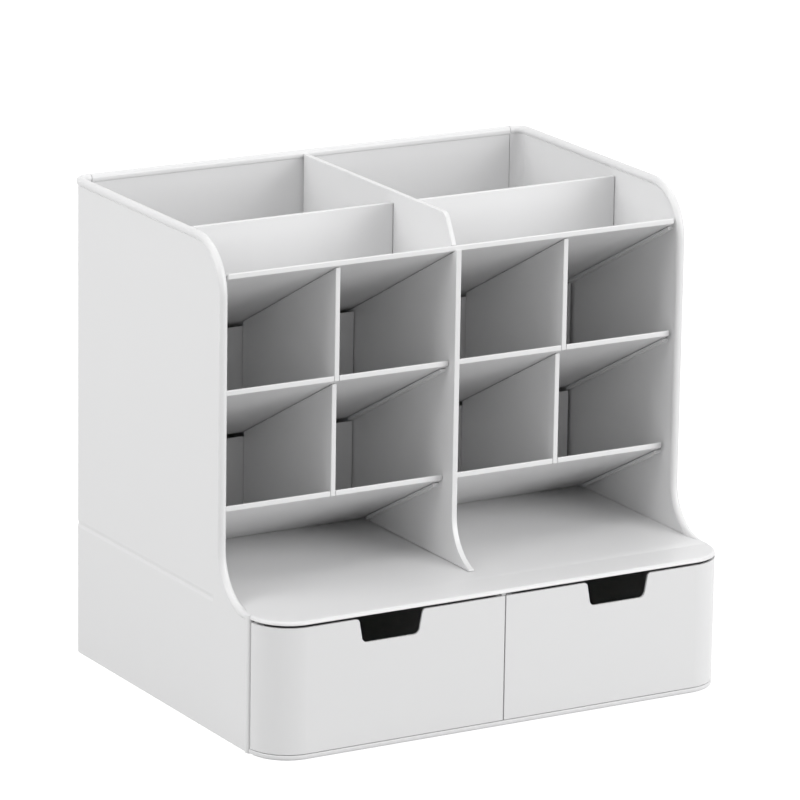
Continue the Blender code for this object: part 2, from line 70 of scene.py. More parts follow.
@dataclass(frozen=True)
class Sizes:
    """Sizes that several sub-assemblies share."""

    width: float = 255.0 * MM
    depth: float = 201.8 * MM
    height: float = 240.8 * MM
    wall: float = 2.6 * MM
    rim: float = 4.2 * MM
    seam: float = 20.2 * MM
    corner: float = 20.2 * MM
    front_edge: float = 48.9 * MM
    flare: float = 24.0 * MM
    foot: float = 8.0 * MM
    back_corner: float = 7.3 * MM
    back_seam: float = 8.7 * MM
    base: float = 2.6 * MM
    deck_top: float = 68.2 * MM
    deck_thickness: float = 1.9 * MM
    gap: float = 0.3 * MM
    tray: float = 2.6 * MM
    tray_angle: float = math.radians(27.5)
    tray_end_gap: float = 0.8 * MM
    tray_edge: float = 0.6 * MM
    first_rise: float = 39.3 * MM
    top_drop: float = 15.9 * MM
    centre_wall: float = 2.9 * MM
    stop: float = 145.0 * MM
    rail: float = 1.8 * MM
    rail_reach: float = 3.2 * MM
    rail_setback: float = 3.2 * MM
    rail_toe: float = 0.6 * MM
    rail_nose: float = 0.4 * MM
    over: float = 2.0 * MM

    @property
    def front(self) -> float:
        """Y of the drawer fronts."""
        return -(self.depth + (self.rim - self.wall) / 2) / 2

    @property
    def half(self) -> float:
        """Half of the width over the side panels."""
        return self.width / 2

    @property
    def panel_middle(self) -> float:
        """X of a side panel's middle."""
        return self.half - self.wall / 2

    @property
    def panel_inner(self) -> float:
        """X of a side panel's inner face."""
        return self.half - self.wall

    @property
    def rim_inner(self) -> float:
        """X of the rim's inner side."""
        return self.panel_middle - self.rim / 2

    @property
    def back_inner(self) -> float:
        """Depth of the back panel's inner face."""
        return self.depth - self.wall

    @property
    def turn_x(self) -> float:
        """X of the middle of a back corner's turn."""
        return self.half - self.back_corner

    @property
    def turn_depth(self) -> float:
        """Depth where a side panel starts to turn round the back corner."""
        return self.depth - self.back_corner

    @property
    def back_seam_x(self) -> float:
        """X of the seam between a side panel and the back panel."""
        return self.half - self.back_seam

    @property
    def inner_corner(self) -> float:
        """Radius of the boards' back corners, clear of the turned wall."""
        return self.back_corner - self.wall - self.gap

    @property
    def deck_low(self) -> float:
        """Height of the deck's underside."""
        return self.deck_top - self.deck_thickness

    @property
    def slope(self) -> float:
        """Fall of the trays for each metre of depth."""
        return math.tan(self.tray_angle)

    @property
    def floor_rise(self) -> float:
        """Upright thickness of a slanted tray floor."""
        return self.tray / math.cos(self.tray_angle)


SIZES = Sizes()


@dataclass(frozen=True)
class TierSize:
    """One tier of slanted trays: its number, its front's depth and its dividers' place across."""

    step: int
    front: float
    divider: float


class Tier(Enum):
    """The three tiers, from the lowest up."""

    MARKER = TierSize(0, 58.0 * MM, 62.0 * MM)
    PENCIL = TierSize(1, 54.0 * MM, 63.0 * MM)
    TOP = TierSize(2, 52.0 * MM, 0.0)

    @property
    def word(self) -> str:
        """Name of the tier in the pieces' names."""
        return self.name.lower()

    def underside(self, depth: float) -> float:
        """Height of the tier's slanted underside at a depth."""
        first = Tier.MARKER.value
        low = SIZES.deck_top + SIZES.first_rise
        top_low = SIZES.height - SIZES.top_drop - SIZES.floor_rise
        high = top_low - SIZES.slope * (first.front - Tier.TOP.value.front)
        start = low + (high - low) * self.value.step / Tier.TOP.value.step
        return start - SIZES.slope * (depth - first.front)

    def floor(self, depth: float) -> float:
        """Height of the tier's slanted floor at a depth."""
        return self.underside(depth) + SIZES.floor_rise

    def above(self) -> "Tier":
        """The next tier up."""
        return list(Tier)[self.value.step + 1]

    def depth_at(self, height: float) -> float:
        """Depth where the tier's underside comes down to a height."""
        return self.value.front + (self.underside(self.value.front) - height) / SIZES.slope

    def front_edge(self) -> list[Corner]:
        """Corners of the tray's upright front edge, from the floor down to the underside."""
        front = self.value.front
        return [
            (front, self.floor(front), SIZES.tray_edge),
            (front, self.underside(front), SIZES.tray_edge),
        ]


# Modelling


class View(Enum):
    """The plane that an outline is drawn in."""

    SIDE = "depth and height"
    PLAN = "across and depth"
    FRONT = "across and height"

    def spot(self, first: float, second: float, level: float) -> Vector:
        """Gives the place of a point of an outline.

        Args:
            first: the outline's first coordinate.
            second: the outline's second coordinate.
            level: place along the direction that the outline is extruded in.

        Returns:
            The point in the model's frame.
        """
        if self is View.SIDE:
            return Vector((level, SIZES.front + first, second))
        if self is View.PLAN:
            return Vector((first, SIZES.front + second, level))
        return Vector((first, SIZES.front + level, second))

    def along(self, distance: float) -> Vector:
        """Gives the vector that extrudes an outline by a distance."""
        if self is View.SIDE:
            return Vector((distance, 0, 0))
        if self is View.PLAN:
            return Vector((0, 0, distance))
        return Vector((0, distance, 0))


def depth_of(spot: Vector) -> float:
    """Depth of a point behind the drawer fronts."""
    return spot.y - SIZES.front


def side_word(side: int) -> str:
    """Left for -1 and right for 1."""
    return "left" if side < 0 else "right"


def rectangle(near: float, low: float, far: float, high: float) -> list[Corner]:
    """Gives the sharp corners of a rectangle, from its first one up and round."""
    return [(near, low, 0.0), (near, high, 0.0), (far, high, 0.0), (far, low, 0.0)]


def leave_edit_mode() -> None:
    """Ends edit mode and deselects everything."""
    if bpy.context.object is not None and bpy.context.object.mode == "EDIT":
        bpy.ops.object.mode_set(mode="OBJECT")
    for chosen in list(bpy.context.selected_objects):
        chosen.select_set(False)


class Piece:
    """A mesh that is shaped in edit mode, with its object left at the origin."""

    smooth_below = math.radians(38)
    round_above = math.radians(34)
    soften_above = math.radians(35)
    flat_below = math.radians(0.5)
    large_face_weight = 50
    least_segments = 3
    round_profile = 0.5

    def __init__(self, name: str) -> None:
        """Starts the piece as one vertex at the origin.

        Args:
            name: the piece's name.
        """
        leave_edit_mode()
        bpy.ops.mesh.primitive_plane_add(size=MM)
        self.object = bpy.context.object
        self.object.name = name
        self.object.data.name = name
        self.edit()
        self.pick_all()
        bpy.ops.mesh.merge(type="CENTER")

    @classmethod
    def sheet(
        cls, name: str, view: View, corners: Sequence[Corner], level: float, steps: int = 16
    ) -> "Piece":
        """Draws a flat outline and fills it.

        Args:
            name: the piece's name.
            view: the plane of the outline.
            corners: the outline's corners, each with its radius.
            level: place of the outline along the view's direction.
            steps: segments of a quarter turn.

        Returns:
            The piece, in edit mode.
        """
        piece = cls(name)
        spots = [view.spot(first, second, level) for first, second, _ in corners]
        bpy.ops.transform.translate(value=spots[0])
        for start, end in zip(spots, spots[1:]):
            bpy.ops.mesh.extrude_vertices_move(TRANSFORM_OT_translate={"value": end - start})
        bpy.ops.mesh.select_all(action="SELECT")
        bpy.ops.mesh.edge_face_add()
        for index, corner in enumerate(corners):
            if corner[2] <= 0:
                continue
            spot = spots[index]
            into = spot - spots[index - 1]
            out = spots[(index + 1) % len(spots)] - spot
            turn = into.angle(out)
            piece.pick(lambda point: (point - spot).length < NEAR)
            bpy.ops.mesh.bevel(
                offset=corner[2] * math.tan(turn / 2),
                offset_type="ABSOLUTE",
                affect="VERTICES",
                segments=max(cls.least_segments, round(steps * turn / (math.pi / 2))),
                profile=cls.round_profile,
                clamp_overlap=False,
            )
        return piece

    @classmethod
    def plate(
        cls, name: str, view: View, corners: Sequence[Corner], low: float, high: float, steps: int = 16
    ) -> "Piece":
        """Extrudes an outline into a closed plate.

        Args:
            name: the piece's name.
            view: the plane of the outline.
            corners: the outline's corners, each with its radius.
            low: where the plate starts along the view's direction.
            high: where it ends.
            steps: segments of a quarter turn.

        Returns:
            The piece, in edit mode.
        """
        piece = cls.sheet(name, view, corners, low, steps)
        bpy.ops.mesh.select_all(action="SELECT")
        piece.extrude(view.along(high - low))
        piece.close()
        return piece

    def edit(self) -> None:
        """Makes this piece the active one, in edit mode."""
        leave_edit_mode()
        self.object.select_set(True)
        bpy.context.view_layer.objects.active = self.object
        bpy.ops.object.mode_set(mode="EDIT")

    def leave(self) -> None:
        """Makes this piece the active one, in object mode."""
        self.edit()
        bpy.ops.object.mode_set(mode="OBJECT")

    def pick_all(self) -> None:
        """Selects the whole mesh."""
        bpy.ops.mesh.select_mode(type="VERT")
        bpy.ops.mesh.select_all(action="SELECT")

    def extrude(self, by: Vector) -> None:
        """Extrudes the selected part."""
        bpy.ops.mesh.extrude_region_move(TRANSFORM_OT_translate={"value": by})

    def turn(self, centre: Vector, angle: float) -> None:
        """Spins the selected part round an upright axis."""
        bpy.ops.mesh.spin(steps=CORNER_STEPS, angle=angle, center=centre, axis=(0, 0, 1))

    def close(self) -> None:
        """Welds doubles and turns all faces outwards."""
        self.pick_all()
        bpy.ops.mesh.remove_doubles(threshold=WELD)
        bpy.ops.mesh.normals_make_consistent(inside=False)

    def clean(self) -> None:
        """Welds the mesh and dissolves edges between faces that lie in one plane."""
        self.close()
        bpy.ops.mesh.dissolve_limited(angle_limit=self.flat_below)
        bpy.ops.mesh.select_all(action="SELECT")
        bpy.ops.mesh.dissolve_degenerate(threshold=WELD)
        self.close()

    def pick(self, test: Test) -> None:
        """Selects the vertices that pass a test.

        Args:
            test: says of a vertex's place whether it is wanted.
        """
        bpy.ops.mesh.select_mode(type="VERT")
        bpy.ops.mesh.select_all(action="DESELECT")
        work = bmesh.from_edit_mesh(self.object.data)
        for vertex in work.verts:
            vertex.select = test(vertex.co)
        work.select_flush_mode()
        bmesh.update_edit_mesh(self.object.data)

    def pick_edges(self, test: Test, least_angle: float) -> int:
        """Selects the edges whose two ends pass a test.

        Args:
            test: says of a vertex's place whether it is wanted.
            least_angle: smallest angle between an edge's two faces.

        Returns:
            The number of edges.
        """
        bpy.ops.mesh.select_mode(type="EDGE")
        bpy.ops.mesh.select_all(action="DESELECT")
        work = bmesh.from_edit_mesh(self.object.data)
        found = 0
        for edge in work.edges:
            if all(test(vertex.co) for vertex in edge.verts) and edge.calc_face_angle(0.0) >= least_angle:
                edge.select = True
                found += 1
        bmesh.update_edit_mesh(self.object.data)
        return found

    def round_edges(self, test: Test, width: float, segments: int) -> None:
        """Rounds the sharp edges whose two ends pass a test.

        Args:
            test: says of a vertex's place whether it is wanted.
            width: distance from the edge to the start of the rounding.
            segments: steps of the rounding.
        """
        if self.pick_edges(test, self.round_above):
            bpy.ops.mesh.bevel(
                offset=width, segments=segments, affect="EDGES", profile=self.round_profile
            )

    def slice(self, spot: Vector, away: Vector) -> None:
        """Cuts off what lies beyond a plane and closes the cut.

        Args:
            spot: a point of the plane.
            away: direction of the side that is cut off.
        """
        self.pick_all()
        bpy.ops.mesh.bisect(plane_co=spot, plane_no=away, use_fill=True, clear_outer=True)

    def shift(self, by: Vector) -> None:
        """Moves the whole mesh."""
        self.pick_all()
        bpy.ops.transform.translate(value=by)

    def modify(self, kind: str, **settings: Any) -> None:
        """Adds a modifier and applies it.

        Args:
            kind: the modifier's type.
            settings: the modifier's settings.
        """
        self.leave()
        bpy.ops.object.modifier_add(type=kind)
        modifier = self.object.modifiers[-1]
        for setting, value in settings.items():
            setattr(modifier, setting, value)
        bpy.ops.object.modifier_apply(modifier=modifier.name)
        self.edit()

    def combine(self, other: "Piece", operation: str) -> None:
        """Joins or cuts this piece with another, which is used up.

        Args:
            other: the other piece.
            operation: UNION or DIFFERENCE.
        """
        other.leave()
        self.modify("BOOLEAN", object=other.object, operation=operation, solver="EXACT")
        bpy.data.objects.remove(other.object, do_unlink=True)

    def join(self, other: "Piece") -> None:
        """Joins another piece to this one."""
        self.combine(other, "UNION")

    def cut(self, other: "Piece") -> None:
        """Cuts this piece with another."""
        self.combine(other, "DIFFERENCE")

    def soften(self, width: float, segments: int = 3) -> None:
        """Rounds all sharp edges.

        Args:
            width: distance from each edge to the start of its rounding.
            segments: steps of the rounding.
        """
        self.modify(
            "BEVEL",
            width=width,
            segments=segments,
            limit_method="ANGLE",
            angle_limit=self.soften_above,
            miter_outer="MITER_ARC",
        )

    def mirror(self) -> None:
        """Adds the piece's mirror image across X = 0 and welds the two."""
        self.modify("MIRROR", use_axis=(True, False, False), merge_threshold=NEAR / 2)

    def done(self, finish: "MouldedFinish", body: str, *nodes: str) -> None:
        """Shades and dresses the piece and sets it in the model.

        Args:
            finish: the piece's finish.
            body: the body that it rides on.
            nodes: the nodes that it stands for.
        """
        self.edit()
        bpy.ops.mesh.select_all(action="SELECT")
        bpy.ops.mesh.delete_loose()
        self.leave()
        bpy.ops.object.shade_smooth_by_angle(angle=self.smooth_below)
        self.modify("WEIGHTED_NORMAL", mode="FACE_AREA", weight=self.large_face_weight, keep_sharp=True)
        self.leave()
        self.object.data.materials.clear()
        self.object.data.materials.append(finish.material())
        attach(self.object, body)
        if nodes:
            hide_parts(*nodes)
        log.info("%s: %d faces on %s", self.object.name, len(self.object.data.polygons), body)


# Shader maths


class Socket:
    """A node's output that takes part in Python expressions."""

    def __init__(self, graph: "Graph", output: bpy.types.NodeSocket) -> None:
        """Keeps the output and the graph that it belongs to."""
        self.graph = graph
        self.output = output

    def math(self, operation: str, first: Value, second: Value) -> "Socket":
        """Adds a Math node.

        Args:
            operation: the node's operation.
            first: its first value.
            second: its second value.

        Returns:
            The node's result.
        """
        return self.graph.node("ShaderNodeMath", {"operation": operation}, {0: first, 1: second})

    def __add__(self, other: Value) -> "Socket":
        """Sum."""
        return self.math("ADD", self, other)

    def __radd__(self, other: Value) -> "Socket":
        """Sum, reflected."""
        return self.math("ADD", other, self)

    def __sub__(self, other: Value) -> "Socket":
        """Difference."""
        return self.math("SUBTRACT", self, other)

    def __rsub__(self, other: Value) -> "Socket":
        """Difference, reflected."""
        return self.math("SUBTRACT", other, self)

    def __mul__(self, other: Value) -> "Socket":
        """Product."""
        return self.math("MULTIPLY", self, other)

    def __rmul__(self, other: Value) -> "Socket":
        """Product, reflected."""
        return self.math("MULTIPLY", other, self)


class Graph:
    """The nodes of one material or of the world."""

    def __init__(self, tree: bpy.types.NodeTree) -> None:
        """Empties a node tree and works in it."""
        self.tree = tree
        tree.nodes.clear()

    def node(
        self, kind: str, settings: dict[str, Any], inputs: dict[Key, Any], output: Key = 0
    ) -> Socket:
        """Adds a node.

        Args:
            kind: the node's type.
            settings: its settings, which are set first.
            inputs: values or sockets by input name or number.
            output: the output that is wanted.

        Returns:
            The wanted output.
        """
        made = self.tree.nodes.new(kind)
        for setting, value in settings.items():
            setattr(made, setting, value)
        for key, value in inputs.items():
            if isinstance(value, Socket):
                self.tree.links.new(value.output, made.inputs[key])
            else:
                made.inputs[key].default_value = value
        if not made.outputs:
            return Socket(self, None)
        return Socket(self, made.outputs[output])

    def coordinates(self) -> Socket:
        """The place on the piece, in metres."""
        return self.node("ShaderNodeTexCoord", {}, {}, "Object")

    def noise(self, where: Socket, size: float, detail: float = 2.0, roughness: float = 0.5) -> Socket:
        """Adds a noise from 0 to 1.

        Args:
            where: coordinates.
            size: size of its patches in metres.
            detail: octaves.
            roughness: share of the finer octaves.

        Returns:
            The noise's value.
        """
        inputs = {"Vector": where, "Scale": 1 / size, "Detail": detail, "Roughness": roughness}
        return self.node("ShaderNodeTexNoise", {}, inputs, "Fac")

    def stretch(self, where: Socket, factors: tuple[float, float, float]) -> Socket:
        """Stretches coordinates by a factor along each axis."""
        return self.node("ShaderNodeMapping", {}, {"Vector": where, "Scale": factors})

    def blend(self, share: Value, first: Any, second: Any) -> Socket:
        """Mixes two colours.

        Args:
            share: share of the second colour.
            first: first colour.
            second: second colour.

        Returns:
            The mixed colour.
        """
        made = self.tree.nodes.new("ShaderNodeMix")
        made.data_type = "RGBA"
        entries = [item for item in made.inputs if item.enabled]
        for entry, value in zip(entries, (share, first, second)):
            if isinstance(value, Socket):
                self.tree.links.new(value.output, entry)
            else:
                entry.default_value = value
        return Socket(self, [item for item in made.outputs if item.enabled][0])


def shade(colour: Colour, factor: float) -> tuple[float, float, float, float]:
    """Gives a colour that is darker or lighter by a factor."""
    red, green, blue = colour
    return (red * factor, green * factor, blue * factor, 1.0)


@dataclass(frozen=True)
class MouldedFinish:
    """A white injection-moulded plastic with a fine grain, flow marks and slight sinks."""

    name: str
    slot: str
    roughness: float
    grain_size: float
    grain_depth: float
    wave_size: float
    wave_depth: float = 0.03 * MM
    colour: Colour = (0.745, 0.745, 0.748)
    roughness_spread: float = 0.05
    tint_spread: float = 0.006
    cloud_size: float = 45 * MM
    flow_size: float = 9 * MM
    flow_stretch: Colour = (1.0, 0.35, 0.6)
    tint_shares: tuple[float, float, float] = (0.6, 0.25, 0.15)
    refraction: float = 1.47

    def material(self) -> bpy.types.Material:
        """Makes the finish's material, once.

        Returns:
            The material.
        """
        known = bpy.data.materials.get(self.name)
        if known is not None:
            return known
        made = bpy.data.materials.new(self.name)
        made.use_nodes = True
        made.diffuse_color = shade(self.colour, 1.0)
        graph = Graph(made.node_tree)
        where = graph.coordinates()
        clouds = graph.noise(where, self.cloud_size, detail=3.0)
        streaks = graph.stretch(where, self.flow_stretch)
        flow = graph.noise(streaks, self.flow_size, detail=4.0, roughness=0.55)
        grain = graph.noise(where, self.grain_size, detail=2.0, roughness=0.6)
        wave = graph.noise(where, self.wave_size, detail=1.0)
        cloud_share, flow_share, grain_share = self.tint_shares
        tint = clouds * cloud_share + flow * flow_share + grain * grain_share
        dark = shade(self.colour, 1 - self.tint_spread)
        light = shade(self.colour, 1 + self.tint_spread)
        colour = graph.blend(tint, dark, light)
        roughness = (flow * 0.5 + grain * 0.5 - 0.5) * (2 * self.roughness_spread) + self.roughness
        height = grain * self.grain_depth + wave * self.wave_depth
        normal = graph.node("ShaderNodeBump", {}, {"Strength": 1.0, "Distance": 1.0, "Height": height})
        shader = graph.node(
            "ShaderNodeBsdfPrincipled",
            {},
            {"Base Color": colour, "Roughness": roughness, "Normal": normal, "IOR": self.refraction},
        )
        graph.node("ShaderNodeOutputMaterial", {}, {"Surface": shader})
        return made


SHELL_FINISH = MouldedFinish(
    "shell_satin_white",
    "shell_plastic",
    roughness=0.32,
    grain_size=0.28 * MM,
    grain_depth=0.006 * MM,
    wave_size=38 * MM,
)
DECK_FINISH = MouldedFinish(
    "deck_satin_white",
    "shell_plastic",
    roughness=0.34,
    grain_size=0.24 * MM,
    grain_depth=0.004 * MM,
    wave_size=30 * MM,
)
TRAY_FINISH = MouldedFinish(
    "tray_satin_white",
    "tray_plastic",
    roughness=0.38,
    grain_size=0.24 * MM,
    grain_depth=0.005 * MM,
    wave_size=30 * MM,
)
DRAWER_FINISH = MouldedFinish(
    "drawer_satin_white",
    "drawer_plastic",
    roughness=0.38,
    grain_size=0.26 * MM,
    grain_depth=0.006 * MM,
    wave_size=42 * MM,
)


# Sub-assemblies


@dataclass
class SidePanel:
    """One side panel with its round rim, its flare and its rails."""

    side: int
    top_corner: float = 27.0 * MM
    bead_steps: int = 10
    bead_turn: float = math.radians(125)
    groove: float = 0.2 * MM
    groove_points: tuple[tuple[float, float], ...] = ((0.75, 1.0), (2.25, 1.0), (3.25, 0.0))
    taper_start: float = 36.0 * MM
    taper_share: float = 0.75
    taper_reach: float = 4.3 * MM
    squeeze_share: float = 1.6
    spare: float = 20.0 * MM
    rail_root: float = 1.0 * MM
    rail_edge: float = 0.3 * MM

    @property
    def name(self) -> str:
        """The node's name."""
        return side_word(self.side) + "_side_panel"

    def bead_section(self) -> list[tuple[float, float]]:
        """Half of the rim's section and of the fine groove beside it, as reach and half thickness."""
        radius = SIZES.rim / 2
        half = SIZES.wall / 2
        points = []
        for step in range(1, self.bead_steps + 1):
            angle = self.bead_turn * step / self.bead_steps
            points.append((radius * (1 - math.cos(angle)), radius * math.sin(angle)))
        reach = points[-1][0]
        for shift, sink in self.groove_points:
            points.append((reach + shift * self.groove, half - sink * self.groove))
        return points

    def shell(self) -> Piece:
        """Makes the panel and its rim as one rounded sheet.

        Returns:
            The panel about X = 0, in edit mode.
        """
        far = SIZES.depth + self.spare
        low = -self.spare
        corners = [
            (SIZES.seam, low, 0.0),
            (SIZES.seam, SIZES.deck_top, 0.0),
            (SIZES.front_edge, SIZES.deck_top, SIZES.flare),
            (SIZES.front_edge, SIZES.height, self.top_corner),
            (far, SIZES.height, 0.0),
            (far, low, 0.0),
        ]
        piece = Piece.sheet(self.name + "_fine", View.SIDE, corners, 0.0, steps=24)
        bpy.ops.mesh.select_mode(type="FACE")
        bpy.ops.mesh.select_all(action="SELECT")
        before = (0.0, 0.0)
        for reach, rise in self.bead_section():
            bpy.ops.mesh.inset(
                thickness=reach - before[0],
                depth=rise - before[1],
                use_even_offset=True,
                use_boundary=True,
            )
            before = (reach, rise)
        piece.mirror()
        piece.close()
        self.taper(piece)
        return piece

    def taper(self, piece: Piece) -> None:
        """Draws the rim in towards the deck's thin lip.

        Args:
            piece: the panel about X = 0, in edit mode.
        """
        flare_end = SIZES.front_edge - SIZES.flare
        reach = self.taper_reach
        half = SIZES.wall / 2

        def share(depth: float) -> float:
            """Part of the rim's thickness that is left at a depth."""
            along = min(1.0, max(0.0, (self.taper_start - depth) / (self.taper_start - SIZES.seam)))
            return 1 - (1 - self.taper_share) * along * along * (3 - 2 * along)

        work = bmesh.from_edit_mesh(piece.object.data)
        for vertex in work.verts:
            depth = depth_of(vertex.co)
            if depth > self.taper_start or vertex.co.z < SIZES.deck_top - reach:
                continue
            centre = View.SIDE.spot(min(depth, flare_end), SIZES.deck_top + SIZES.flare, 0.0)
            out = Vector((0.0, vertex.co.y - centre.y, vertex.co.z - centre.z))
            if out.length > SIZES.flare + reach:
                continue
            factor = share(depth)
            spot = centre + out * ((SIZES.flare + (out.length - SIZES.flare) * factor) / out.length)
            bulge = max(0.0, abs(vertex.co.x) - half)
            squeezed = abs(vertex.co.x) - bulge * (1 - factor) * self.squeeze_share
            vertex.co = Vector((math.copysign(squeezed, vertex.co.x), spot.y, spot.z))
        bmesh.update_edit_mesh(piece.object.data)

    def build(self) -> None:
        """Builds and dresses the panel."""
        piece = self.shell()
        piece.slice(Vector((0, 0, 0)), Vector((0, 0, -1)))
        piece.slice(View.SIDE.spot(SIZES.turn_depth, 0, 0), Vector((0, 1, 0)))
        piece.shift(Vector((self.side * SIZES.panel_middle, 0, 0)))
        piece.pick(lambda spot: depth_of(spot) > SIZES.turn_depth - NEAR)
        centre = View.PLAN.spot(self.side * SIZES.turn_x, SIZES.turn_depth, 0)
        piece.turn(centre, -self.side * math.pi / 2)
        piece.extrude(Vector((self.side * (SIZES.back_seam_x - SIZES.turn_x), 0, 0)))
        piece.close()
        piece.join(self.corner_block())
        piece.cut(foot_cutter())
        piece.cut(SideLine().cutter())
        self.add_rails(piece)
        piece.close()
        piece.done(SHELL_FINISH, "housing", self.name)

    def corner_block(self) -> Piece:
        """Makes the block that closes the bottom of the back corner.

        Returns:
            The block.
        """
        middle = SIZES.wall / 2
        start = SIZES.depth - SIZES.foot - SIZES.wall
        outer = self.side * SIZES.panel_middle
        inner = self.side * (SIZES.back_seam_x + NEAR)
        corners = [
            (outer, start, 0.0),
            (outer, SIZES.depth - middle, SIZES.back_corner - middle),
            (inner, SIZES.depth - middle, 0.0),
            (inner, start, 0.0),
        ]
        return Piece.plate("corner_block", View.PLAN, corners, 0.0, SIZES.foot)

    def add_rails(self, piece: Piece) -> None:
        """Joins the rails that carry the trays and the deck.

        Args:
            piece: the panel at its place.
        """
        root = SIZES.panel_inner + self.rail_root
        tip = SIZES.panel_inner - SIZES.rail_reach
        low, high = sorted((self.side * root, self.side * tip))
        for tier, start, end in rail_spans():
            rail = Piece.plate("rail", View.SIDE, rail_outline(tier, start, end), low, high)
            rail.soften(self.rail_edge)
            piece.join(rail)
        top = SIZES.deck_low - SIZES.gap
        corners = rectangle(SIZES.seam + SIZES.rail_setback, top - SIZES.rail, SIZES.turn_depth, top)
        ledge = Piece.plate("ledge", View.SIDE, corners, low, high)
        ledge.soften(self.rail_edge)
        piece.join(ledge)


def rail_spans() -> list[tuple[Tier, float, float]]:
    """Tier, start and end depth of each rail."""
    foot = Tier.MARKER.depth_at(SIZES.deck_top + SIZES.gap)
    ends = (foot - SIZES.rail_reach - SIZES.rail / SIZES.slope, SIZES.stop, SIZES.turn_depth)
    return [(tier, tier.value.front + SIZES.rail_setback, end) for tier, end in zip(Tier, ends)]


def rail_outline(tier: Tier, start: float, end: float) -> list[Corner]:
    """Side view of a slanted rail under a tier."""
    top_start = tier.underside(start) - SIZES.gap
    top_end = tier.underside(end) - SIZES.gap
    return [
        (start, top_start - SIZES.rail, SIZES.rail_toe),
        (start, top_start, SIZES.rail_nose),
        (end, top_end, 0.0),
        (end, top_end - SIZES.rail, 0.0),
    ]


def foot_cutter() -> Piece:
    """Makes the cutter that rounds the bottom back edge."""
    low = -SIZES.over
    far = SIZES.depth + SIZES.over
    start = SIZES.depth - SIZES.foot
    corners = [
        (start, low, 0.0),
        (far, low, 0.0),
        (far, SIZES.foot, 0.0),
        (SIZES.depth, SIZES.foot, 0.0),
        (SIZES.depth, 0.0, SIZES.foot),
        (start, 0.0, 0.0),
    ]
    reach = SIZES.half + SIZES.over
    return Piece.plate("foot_cutter", View.SIDE, corners, -reach, reach, steps=20)


@dataclass(frozen=True)
class SideLine:
    """The soft moulded line round the sides and the back."""

    height: float = 66.4 * MM
    half: float = 2.0 * MM
    deep: float = 0.45 * MM
    proud: float = 0.1 * MM
    steps: int = 5
    start: float = 56.0 * MM

    def outline(self) -> list[Corner]:
        """Section of the cutter at the left side: a wave whose flanks run out of the wall in line."""
        waves = []
        for step in range(1 - self.steps, self.steps):
            sink = self.deep * (1 + math.cos(math.pi * step / self.steps)) / 2
            waves.append((sink, self.half * step / self.steps))
        last_sink, last_away = waves[-1]
        slant = last_away + (self.half - last_away) * (last_sink + self.proud) / last_sink
        waves += [(-self.proud, slant), (-self.proud, -slant)]
        return [(sink - SIZES.half, self.height + away, 0.0) for sink, away in waves]

    def cutter(self) -> Piece:
        """Makes the cutter, along the left side, the back and the right side.

        Returns:
            The cutter.
        """
        piece = Piece.sheet("line_cutter", View.FRONT, self.outline(), self.start)
        bpy.ops.mesh.select_all(action="SELECT")
        back = View.FRONT.along(SIZES.turn_depth - self.start)
        piece.extrude(back)
        piece.turn(View.PLAN.spot(-SIZES.turn_x, SIZES.turn_depth, self.height), math.pi / 2)
        piece.extrude(Vector((2 * SIZES.turn_x, 0, 0)))
        piece.turn(View.PLAN.spot(SIZES.turn_x, SIZES.turn_depth, self.height), math.pi / 2)
        piece.extrude(-back)
        piece.close()
        return piece


@dataclass
class BackPanel:
    """The rear wall with its rim and its turned-in foot."""

    name: str = "back_panel"
    edge: float = 0.15 * MM
    neck_rise: float = 0.25 * MM
    neck_fillet: float = 0.5 * MM
    neck_share: float = 0.6

    def build(self) -> None:
        """Builds and dresses the wall."""
        middle = SIZES.depth - SIZES.wall / 2
        radius = SIZES.rim / 2
        neck = SIZES.height - SIZES.rim + self.neck_rise
        foot_end = SIZES.depth - SIZES.foot - SIZES.wall
        corners = [
            (SIZES.depth, neck, self.neck_fillet),
            (middle + radius, neck, radius * self.neck_share),
            (middle + radius, SIZES.height, radius),
            (middle - radius, SIZES.height, radius),
            (middle - radius, neck, radius * self.neck_share),
            (SIZES.back_inner, neck, self.neck_fillet),
            (SIZES.back_inner, SIZES.wall, SIZES.foot - SIZES.wall),
            (foot_end, SIZES.wall, 0.0),
            (foot_end, 0.0, 0.0),
            (SIZES.depth, 0.0, SIZES.foot),
        ]
        span = SIZES.back_seam_x - SIZES.gap
        piece = Piece.plate(self.name + "_fine", View.SIDE, corners, -span, span)
        piece.soften(self.edge, segments=2)
        piece.cut(SideLine().cutter())
        piece.done(SHELL_FINISH, "housing", self.name)


def footprint(sides: Sequence[tuple[float, float]], rear_depth: float, rear_radius: float) -> list[Corner]:
    """Gives the plan of a board that is full width in front of the side panels' seams.

    Args:
        sides: half width and depth where it starts, for each step of the sides from the seam back.
        rear_depth: depth of the board's rear edge.
        rear_radius: radius of its back corners.

    Returns:
        The plan's corners.
    """
    shoulder = SIZES.seam - SIZES.gap
    steps = [(SIZES.half, 0.0, shoulder)]
    before = SIZES.half
    for half, depth in sides:
        steps.append((before, depth, 0.0))
        steps.append((half, depth, 0.0))
        before = half
    steps.append((before, rear_depth, rear_radius))
    return steps + [(-x, depth, radius) for x, depth, radius in reversed(steps)]


